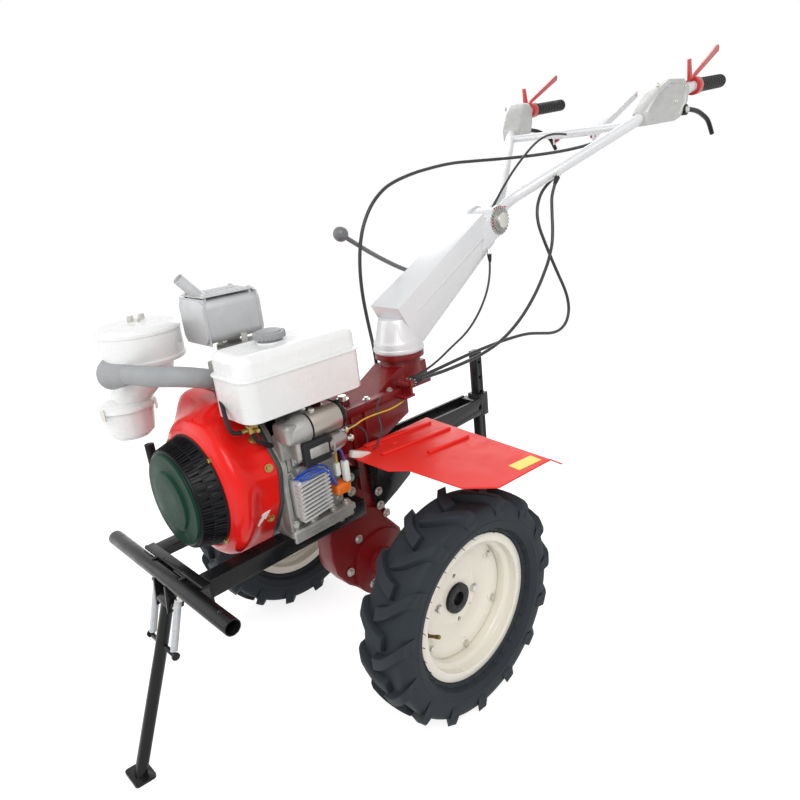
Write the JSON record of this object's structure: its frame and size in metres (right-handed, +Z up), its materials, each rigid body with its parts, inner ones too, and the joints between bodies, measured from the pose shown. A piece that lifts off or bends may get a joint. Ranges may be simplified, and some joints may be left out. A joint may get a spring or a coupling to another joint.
{
  "type": "walk-behind power weeder",
  "caption": "Walk-behind power weeder: rail frame, recoil-start engine, tall gearbox, lugged wheels, fenders, folding front stand and raised swivelling handlebars.",
  "frame": {"origin": "on the ground in the middle of the machine's length and width", "axes": "+X forward towards the bumper and stand, +Y to the machine's left, +Z up"},
  "size_m": [1.932, 0.96, 1.588],
  "materials": {
    "bare_steel": "machined steel",
    "cast_alloy": "as-cast aluminium",
    "cover_green": "dark green moulding",
    "engine_red": "gloss red paint",
    "fender_red": "bright red paint on sheet",
    "frame_black": "gloss black paint on steel",
    "gearbox_red": "dark red paint on a casting",
    "lever_red": "red paint",
    "plug_white": "white connector",
    "recoil_black": "black moulding",
    "rim_cream": "cream enamel on steel",
    "rubber_black": "black rubber",
    "silver_paint": "pale silver paint on steel",
    "starter_metal": "brushed motor shell",
    "tank_paint": "pale grey paint",
    "tyre": "black tyre rubber",
    "zinc": "zinc plated steel"
  },
  "bodies": {
    "chassis": {"bumper_tube": "frame_black", "cross_plate": "frame_black", "stand_bracket": "frame_black", "rail_left": "frame_black", "rail_right": "frame_black", "crankcase": "cast_alloy", "cylinder": "cast_alloy", "back_plate": "frame_black", "fan_shroud": "engine_red", "recoil_band": "recoil_black", "recoil_cover": "cover_green", "pull_handle": "recoil_black", "fuel_tank": "tank_paint", "tank_cap": "recoil_black", "tank_bracket": "frame_black", "muffler": "frame_black", "air_cleaner": "tank_paint", "intake_duct": "rubber_black", "starter_motor": "starter_metal", "regulator": "cast_alloy", "wiring_plugs": "plug_white", "gearbox_case": "gearbox_red", "gearbox_cover": "gearbox_red", "mount_blocks": "frame_black", "rear_hitch": "frame_black", "depth_bar": "frame_black", "fender_left": "fender_red", "fender_right": "fender_red", "fender_brackets": "frame_black"},
    "wheel_left": {"tyre_left": "tyre", "rim_left": "rim_cream", "hub_left": "frame_black", "half_shaft_left": "bare_steel"},
    "wheel_right": {"tyre_right": "tyre", "rim_right": "rim_cream", "hub_right": "frame_black", "half_shaft_right": "bare_steel"},
    "stand": {"stand_leg": "frame_black", "stand_spring_left": "zinc", "stand_spring_right": "zinc"},
    "column": {"handle_column": "silver_paint", "clamp_bolt": "zinc", "gear_lever": "frame_black", "cable_clutch": "rubber_black", "cable_throttle": "rubber_black", "cable_brake": "rubber_black", "cable_stop": "rubber_black"},
    "handlebar": {"handlebar": "silver_paint", "handle_panel": "silver_paint", "grips": "rubber_black", "lever_brackets": "cast_alloy", "clutch_levers": "frame_black", "red_levers": "lever_red", "cable_clutch_upper": "rubber_black", "cable_throttle_upper": "rubber_black", "cable_brake_upper": "rubber_black"}
  },
  "joints": [
    {"name": "wheel_left_spin", "type": "hinge", "parent": "chassis", "child": "wheel_left", "pos_m": [0.34, 0.34, 0.26], "axis": [0, 1, 0], "continuous": true},
    {"name": "wheel_right_spin", "type": "hinge", "parent": "chassis", "child": "wheel_right", "pos_m": [0.34, -0.34, 0.26], "axis": [0, 1, 0], "continuous": true},
    {"name": "stand_fold", "type": "hinge", "parent": "chassis", "child": "stand", "pos_m": [0.84423, 0, 0.35553], "axis": [0, 1, 0], "range_deg": [0, 75], "deforming": ["stand_spring_left", "stand_spring_right"]},
    {"name": "handle_swivel", "type": "hinge", "parent": "chassis", "child": "column", "pos_m": [0.19003, 0, 0.76273], "axis": [0.1011, 0, 0.9949], "range_deg": [-30, 30], "deforming": ["cable_clutch", "cable_throttle", "cable_brake", "cable_stop"]},
    {"name": "handle_tilt", "type": "hinge", "parent": "column", "child": "handlebar", "pos_m": [-0.16013, 0, 1.07572], "axis": [0, 1, 0], "range_deg": [-30, 10], "deforming": ["cable_clutch_upper", "cable_throttle_upper", "cable_brake_upper"]}
  ]
}
